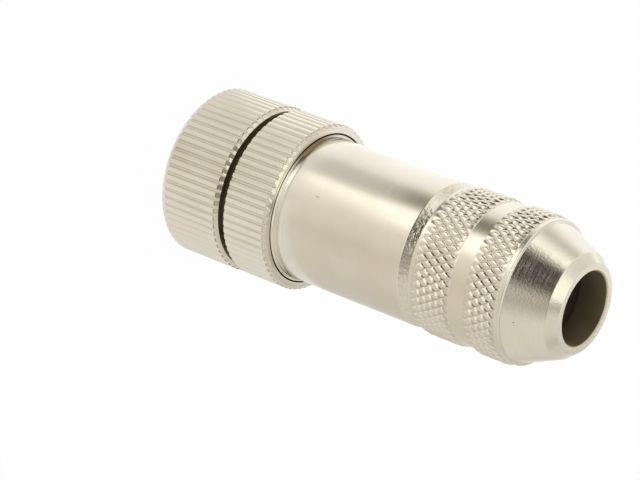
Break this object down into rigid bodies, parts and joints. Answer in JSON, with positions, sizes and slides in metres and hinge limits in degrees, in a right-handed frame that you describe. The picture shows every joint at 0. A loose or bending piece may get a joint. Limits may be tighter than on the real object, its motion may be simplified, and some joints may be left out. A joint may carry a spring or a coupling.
{
  "type": "m12 cable connector",
  "caption": "Straight M12 circular cable connector with sockets: knurled coupling nut, smooth metal sleeve and a diamond-knurled clamping nut with a round cable entry.",
  "frame": {"origin": "centre of the coupling nut's front face, which the connector stands on", "axes": "+Z along the connector's axis towards the cable entry; +Y towards the coding groove"},
  "size_m": [0.02, 0.02, 0.0525],
  "materials": {
    "knurled_nickel": "nickel plated brass, knurled and satin turned",
    "turned_nickel": "nickel plated brass, finely turned",
    "spring_steel": "bright wire",
    "seal_rubber": "matt black rubber",
    "insert_plastic": "moulded black polyamide",
    "gilded_brass": "gold plated",
    "screw_steel": "zinc plated",
    "inner_metal": "nickel plated, plain",
    "spring_bronze": "bright spring bronze",
    "washer_plastic": "natural acetal",
    "cage_plastic": "moulded black polyamide"
  },
  "bodies": {
    "carrier": {"carrier_ring": "knurled_nickel", "face_seal": "seal_rubber", "contact_insert": "insert_plastic", "socket_contact_1": "gilded_brass", "socket_contact_2": "gilded_brass", "socket_contact_3": "gilded_brass", "socket_contact_4": "gilded_brass", "sleeve_seal": "seal_rubber"},
    "nut_guide": {"retaining_ring": "spring_steel"},
    "nut": {"coupling_nut": "knurled_nickel"},
    "screw_1": {"terminal_screw_1": "screw_steel"},
    "screw_2": {"terminal_screw_2": "screw_steel"},
    "screw_3": {"terminal_screw_3": "screw_steel"},
    "screw_4": {"terminal_screw_4": "screw_steel"},
    "stack": {"spacer_sleeve": "inner_metal", "shield_ring": "inner_metal", "shield_spring": "spring_bronze", "cable_seal": "seal_rubber", "thrust_washer": "washer_plastic"},
    "sleeve": {"housing_sleeve": "turned_nickel"},
    "cage": {"clamping_cage": "cage_plastic"},
    "clamp": {"clamp_nut": "knurled_nickel"}
  },
  "joints": [
    {"name": "nut_play", "type": "slide", "parent": "carrier", "child": "nut_guide", "axis": [0, 0, 1], "range_m": [-0.0005, 0]},
    {"name": "nut_spin", "type": "hinge", "parent": "nut_guide", "child": "nut", "pos_m": [0, 0, 0.0042], "axis": [0, 0, 1], "continuous": true},
    {"name": "sleeve_travel", "type": "slide", "parent": "carrier", "child": "stack", "axis": [0, 0, 1], "range_m": [0, 0.00701]},
    {"name": "sleeve_turn", "type": "hinge", "parent": "stack", "child": "sleeve", "pos_m": [0, 0, 0.02], "axis": [0, 0, 1], "range_deg": [0, 2520]},
    {"name": "clamp_travel", "type": "slide", "parent": "sleeve", "child": "cage", "axis": [0, 0, 1], "range_m": [0, 0.00401]},
    {"name": "clamp_turn", "type": "hinge", "parent": "cage", "child": "clamp", "pos_m": [0, 0, 0.045], "axis": [0, 0, 1], "range_deg": [0, 1440]},
    {"name": "screw_1_travel", "type": "slide", "parent": "carrier", "child": "screw_1", "axis": [0.7071, 0.7071, 0], "range_m": [-0.0008, 0]},
    {"name": "screw_2_travel", "type": "slide", "parent": "carrier", "child": "screw_2", "axis": [-0.7071, 0.7071, 0], "range_m": [-0.0008, 0]},
    {"name": "screw_3_travel", "type": "slide", "parent": "carrier", "child": "screw_3", "axis": [-0.7071, -0.7071, 0], "range_m": [-0.0008, 0]},
    {"name": "screw_4_travel", "type": "slide", "parent": "carrier", "child": "screw_4", "axis": [0.7071, -0.7071, 0], "range_m": [-0.0008, 0]}
  ],
  "couplings": [
    {"joint": "sleeve_travel", "follows": "sleeve_turn", "m_per_rad": 0.00015915},
    {"joint": "clamp_travel", "follows": "clamp_turn", "m_per_rad": 0.00015915}
  ]
}
